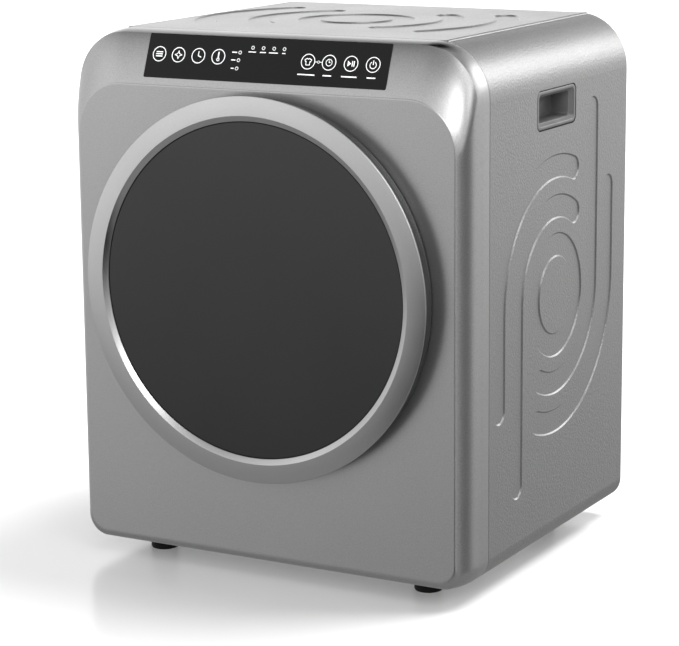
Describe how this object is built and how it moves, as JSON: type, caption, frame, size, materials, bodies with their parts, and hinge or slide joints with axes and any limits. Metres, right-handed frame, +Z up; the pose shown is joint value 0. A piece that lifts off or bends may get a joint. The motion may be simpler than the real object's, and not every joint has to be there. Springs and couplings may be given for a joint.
{
  "type": "compact tumble clothes dryer",
  "caption": "Compact front-loading vented tumble dryer with a round smoked-glass door, leaning touch panel, embossed side and top sheets, belt-driven drum and rear exhaust collar.",
  "frame": {"origin": "on the floor, under the middle of the overall box", "axes": "+Z up, -Y out of the front door, +X to the right as seen from the front"},
  "size_m": [0.566, 0.5278, 0.686],
  "materials": {
    "silver_moulding": "metallic silver grey paint on a moulded plastic, satin",
    "silver_sheet": "metallic silver grey paint with a fine grain, satin",
    "plated_sheet": "zinc plated sheet steel",
    "panel_glass": "glossy black touch panel with pale icons",
    "circuit_board": "green circuit board",
    "handle_plastic": "dark grey moulded plastic",
    "ring_silver": "satin silver paint",
    "smoked_glass": "dark smoked toughened glass",
    "shell_grey": "dark grey moulded plastic, satin",
    "black_plastic": "black moulded plastic",
    "grey_plastic": "light grey moulded plastic",
    "clear_bowl": "clear moulded bowl",
    "seal_rubber": "black rubber",
    "bright_steel": "bright steel",
    "drum_steel": "brushed stainless steel",
    "felt": "wool felt",
    "belt_rubber": "ribbed rubber belt",
    "roller_rubber": "dense rubber tyre on a hub",
    "motor_steel": "grey painted motor case",
    "filter_net": "fine blue polyester net",
    "heater_aluminium": "finned aluminium"
  },
  "bodies": {
    "cabinet": {"front_frame": "silver_moulding", "side_panel_right": "silver_sheet", "side_panel_left": "silver_sheet", "top_panel": "silver_sheet", "back_panel": "plated_sheet", "base_pan": "plated_sheet", "front_bulkhead": "plated_sheet", "rear_bulkhead": "plated_sheet", "motor_bracket": "plated_sheet", "idler_arm": "plated_sheet", "heater_housing": "plated_sheet", "control_glass": "panel_glass", "control_board": "circuit_board", "power_board": "circuit_board", "handle_cup_right": "handle_plastic", "handle_cup_left": "handle_plastic", "latch_housing": "black_plastic", "door_switch": "black_plastic", "cord_gland": "black_plastic", "blower_housing": "black_plastic", "blower_cover": "black_plastic", "suction_duct": "black_plastic", "exhaust_collar": "black_plastic", "intake_grille": "black_plastic", "foot_front_left": "seal_rubber", "foot_front_right": "seal_rubber", "foot_rear_left": "seal_rubber", "foot_rear_right": "seal_rubber", "hinge_bracket": "bright_steel", "hinge_pin": "bright_steel", "foot_bolts": "bright_steel", "back_screws": "bright_steel", "front_screws": "bright_steel", "roller_axles": "bright_steel", "idler_spring": "bright_steel", "thermostats": "bright_steel", "front_glide_ring": "felt", "rear_felt_ring": "felt", "drum_belt": "belt_rubber", "motor_stator": "motor_steel", "heater_element": "heater_aluminium"},
    "door": {"door_ring": "ring_silver", "door_glass": "smoked_glass", "door_shell": "shell_grey", "door_liner": "grey_plastic", "door_bowl": "clear_bowl", "door_seal": "seal_rubber", "hinge_leaf": "bright_steel", "door_striker": "bright_steel", "door_screws": "bright_steel"},
    "drum": {"drum": "drum_steel", "drum_lifters": "grey_plastic"},
    "motor_rotor": {"motor_rotor": "motor_steel", "motor_pulley": "bright_steel", "blower_wheel": "black_plastic"},
    "idler": {"idler_pulley": "black_plastic"},
    "roller_left": {"roller_left": "roller_rubber"},
    "roller_right": {"roller_right": "roller_rubber"},
    "lint_filter": {"lint_filter_frame": "grey_plastic", "lint_filter_mesh": "filter_net"}
  },
  "joints": [
    {"name": "door_hinge", "type": "hinge", "parent": "cabinet", "child": "door", "pos_m": [-0.235, -0.25055, 0.377], "axis": [0, 0, -1], "range_deg": [0, 110]},
    {"name": "drum_spin", "type": "hinge", "parent": "cabinet", "child": "drum", "pos_m": [0, -0.01455, 0.377], "axis": [0, 1, 0], "continuous": true},
    {"name": "motor_spin", "type": "hinge", "parent": "cabinet", "child": "motor_rotor", "pos_m": [0.175, 0.06545, 0.096], "axis": [0, 1, 0], "continuous": true},
    {"name": "idler_spin", "type": "hinge", "parent": "cabinet", "child": "idler", "pos_m": [0.095, 0.01145, 0.108], "axis": [0, 1, 0], "continuous": true},
    {"name": "roller_left_spin", "type": "hinge", "parent": "cabinet", "child": "roller_left", "pos_m": [-0.16077, 0.15845, 0.14739], "axis": [0, 1, 0], "continuous": true},
    {"name": "roller_right_spin", "type": "hinge", "parent": "cabinet", "child": "roller_right", "pos_m": [0.16077, 0.15845, 0.14739], "axis": [0, 1, 0], "continuous": true},
    {"name": "filter_pull", "type": "slide", "parent": "cabinet", "child": "lint_filter", "axis": [0, -1, 0], "range_m": [0, 0.1]}
  ],
  "couplings": [
    {"joint": "motor_spin", "follows": "drum_spin", "ratio": 23.489},
    {"joint": "idler_spin", "follows": "drum_spin", "ratio": 13.276},
    {"joint": "roller_left_spin", "follows": "drum_spin", "ratio": -8.3333},
    {"joint": "roller_right_spin", "follows": "drum_spin", "ratio": -8.3333}
  ]
}
